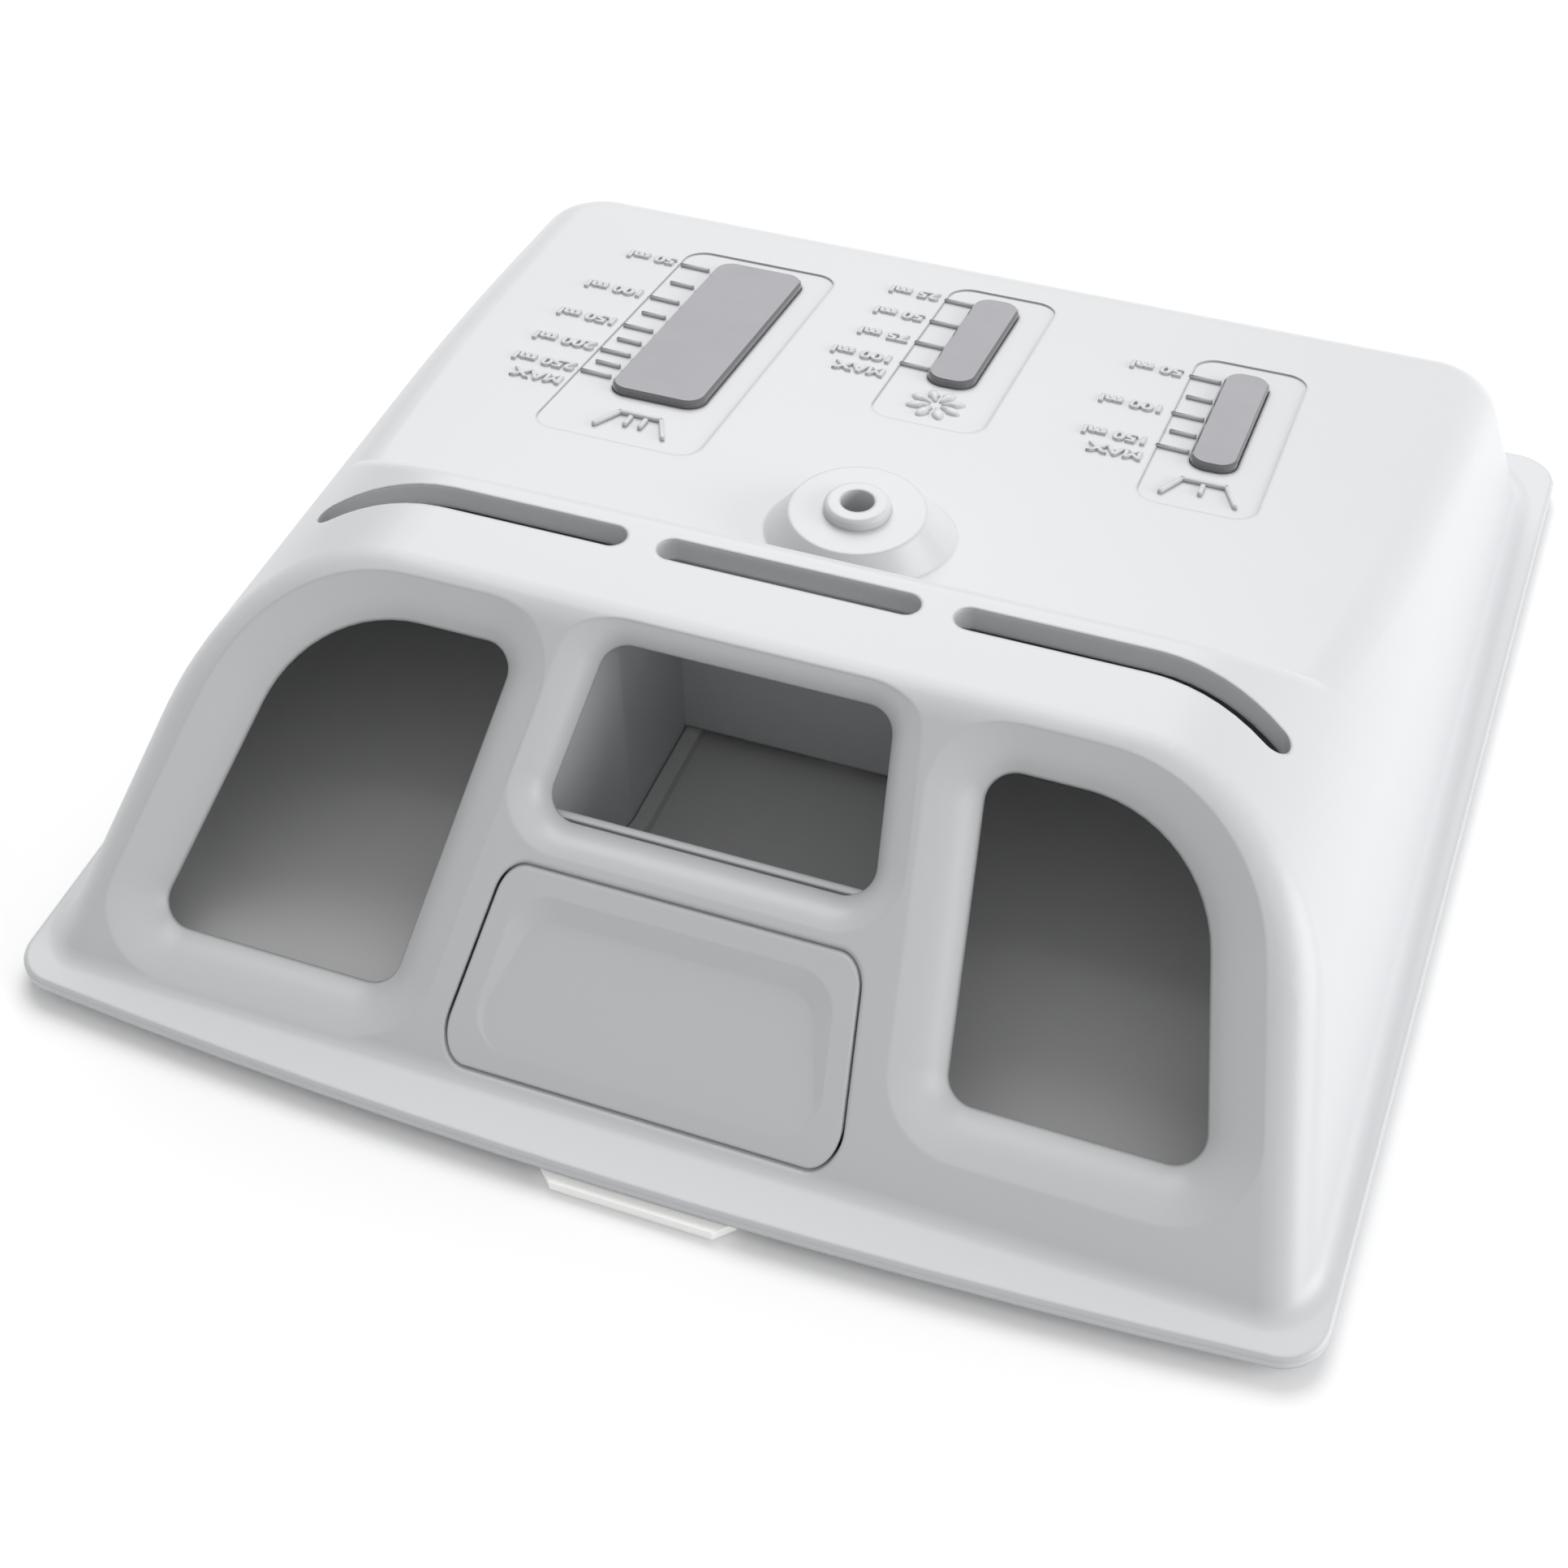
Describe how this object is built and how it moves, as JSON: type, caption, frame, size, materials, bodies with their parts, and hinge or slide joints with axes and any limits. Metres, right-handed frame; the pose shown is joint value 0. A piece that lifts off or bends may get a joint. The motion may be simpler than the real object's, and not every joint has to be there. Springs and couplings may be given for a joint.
{
  "type": "washer lid detergent dispenser",
  "caption": "Lid-mounted detergent dispenser of a top-loading washer: sloping front with filling mouths, smoked level windows, hood slots, siphon outlet and a sprung release button",
  "frame": {"origin": "middle of the box that the part fills, on the plane of the rim that rests on the lid", "axes": "+X across the part, +Y from the release button to the far end, +Z away from the lid"},
  "size_m": [0.315, 0.3164, 0.0795],
  "materials": {
    "white_plastic": "glossy white moulding, faintly cool",
    "panel_plastic": "satin white moulding",
    "button_plastic": "glossy white moulding",
    "smoked_plastic": "smoked translucent moulding",
    "natural_plastic": "milky natural moulding",
    "spring_steel": "drawn wire"
  },
  "bodies": {
    "dispenser": {"front_cover": "white_plastic", "rear_panel": "panel_plastic", "main_wash_window": "smoked_plastic", "softener_window": "smoked_plastic", "prewash_window": "smoked_plastic", "siphon_cap": "panel_plastic", "return_springs": "spring_steel"},
    "button": {"release_button": "button_plastic", "latch_tongue": "natural_plastic"}
  },
  "joints": [
    {"name": "button_press", "type": "slide", "parent": "dispenser", "child": "button", "axis": [0, 1, 0], "range_m": [0, 0.005], "stiffness_N_per_m": 800, "deforming": ["return_springs"]}
  ]
}
